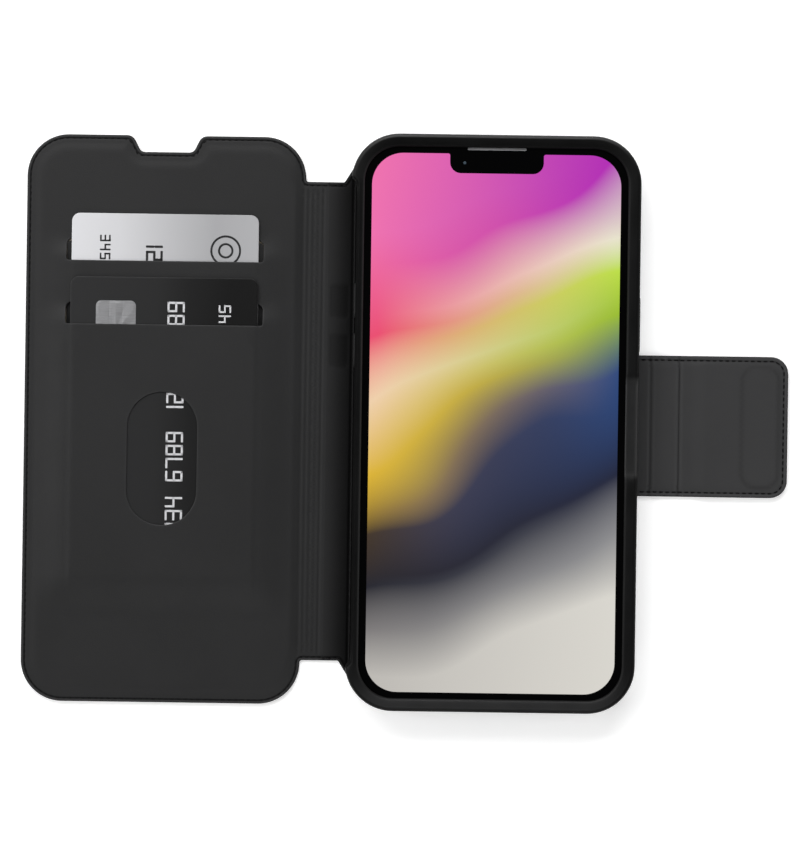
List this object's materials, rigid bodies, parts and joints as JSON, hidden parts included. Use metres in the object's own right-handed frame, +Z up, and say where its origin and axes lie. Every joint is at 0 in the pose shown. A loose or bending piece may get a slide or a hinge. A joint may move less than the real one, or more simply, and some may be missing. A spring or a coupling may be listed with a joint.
{
  "type": "phone wallet case",
  "caption": "Folding phone wallet case lying open: a cover with two card slots, a spine, a phone in a soft tray and a magnetic closing strap.",
  "frame": {"origin": "bottom centre of the open case's box: it lies on its outer leather, lining up", "axes": "+X from the cover towards the strap, +Y towards the phone's top, +Z up out of the display"},
  "size_m": [0.2208, 0.1652, 0.0109],
  "materials": {
    "outer_leather": "fine pebbled charcoal leather, satin",
    "lining_leather": "fine smooth-grained charcoal leather, satin",
    "pocket_lining": "black thin lining cloth",
    "stiff_board": "raw grey board",
    "magnet_steel": "plain steel",
    "thread": "black waxed thread",
    "tray_plastic": "soft black plastic, satin",
    "light_card": "pale grey laminated card",
    "dark_card": "charcoal laminated card",
    "card_chip": "contact plate",
    "phone_glass": "opaque black glass, polished",
    "phone_screen": "lit panel with a plain colour gradient",
    "phone_metal": "graphite metal, polished",
    "phone_grille": "fine dark mesh",
    "flash_lens": "pale diffuser"
  },
  "bodies": {
    "back_case": {"back_leather": "outer_leather", "back_board": "stiff_board", "strap_anchor_tab": "outer_leather", "tray_shell": "tray_plastic", "phone_frame": "phone_metal", "phone_display": "phone_screen", "phone_front_glass": "phone_glass", "phone_earpiece": "phone_grille", "phone_selfie_camera": "phone_glass", "phone_back_glass": "phone_glass", "phone_camera_plate": "phone_glass", "phone_lens_upper": "phone_metal", "phone_lens_lower": "phone_metal", "phone_lens_side": "phone_metal", "phone_flash": "flash_lens"},
    "spine": {"spine_leather": "outer_leather", "spine_lining": "lining_leather"},
    "cover": {"cover_leather": "outer_leather", "cover_board": "stiff_board", "cover_magnet_plate": "magnet_steel", "cover_lining": "lining_leather", "pocket_back": "pocket_lining", "pocket_divider": "pocket_lining", "cover_stitching": "thread"},
    "light_card_body": {"light_card": "light_card"},
    "dark_card_body": {"dark_card": "dark_card", "dark_card_chip": "card_chip"},
    "strap_side": {"strap_side_leather": "outer_leather", "strap_side_board": "stiff_board", "strap_side_lining": "lining_leather", "strap_side_stitching": "thread"},
    "strap_flap": {"strap_flap_leather": "outer_leather", "strap_flap_board": "stiff_board", "strap_magnet": "magnet_steel", "strap_flap_lining": "lining_leather", "strap_flap_stitching": "thread"},
    "volume_up": {"volume_up_key": "tray_plastic"},
    "volume_down": {"volume_down_key": "tray_plastic"},
    "side_button": {"side_key": "tray_plastic"}
  },
  "joints": [
    {"name": "spine_fold", "type": "hinge", "parent": "back_case", "child": "spine", "pos_m": [-0.01625, 0, 0.00025], "axis": [0, -1, 0], "range_deg": [-90, 90]},
    {"name": "cover_fold", "type": "hinge", "parent": "spine", "child": "cover", "pos_m": [-0.02994, 0, 0.00025], "axis": [0, -1, 0], "range_deg": [-90, 90]},
    {"name": "strap_root_fold", "type": "hinge", "parent": "back_case", "child": "strap_side", "pos_m": [0.06825, 0, 0.00025], "axis": [0, 1, 0], "range_deg": [-90, 90]},
    {"name": "strap_tip_fold", "type": "hinge", "parent": "strap_side", "child": "strap_flap", "pos_m": [0.08432, 0, 0.00025], "axis": [0, 1, 0], "range_deg": [-90, 30]},
    {"name": "light_card_slide", "type": "slide", "parent": "cover", "child": "light_card_body", "axis": [0, 1, 0], "range_m": [0, 0.072]},
    {"name": "dark_card_slide", "type": "slide", "parent": "cover", "child": "dark_card_body", "axis": [0, 1, 0], "range_m": [0, 0.072]},
    {"name": "volume_up_press", "type": "slide", "parent": "back_case", "child": "volume_up", "axis": [1, 0, 0], "range_m": [0, 0.0002], "stiffness_N_per_m": 1500},
    {"name": "volume_down_press", "type": "slide", "parent": "back_case", "child": "volume_down", "axis": [1, 0, 0], "range_m": [0, 0.0002], "stiffness_N_per_m": 1500},
    {"name": "side_key_press", "type": "slide", "parent": "back_case", "child": "side_button", "axis": [-1, 0, 0], "range_m": [0, 0.0002], "stiffness_N_per_m": 1500}
  ]
}
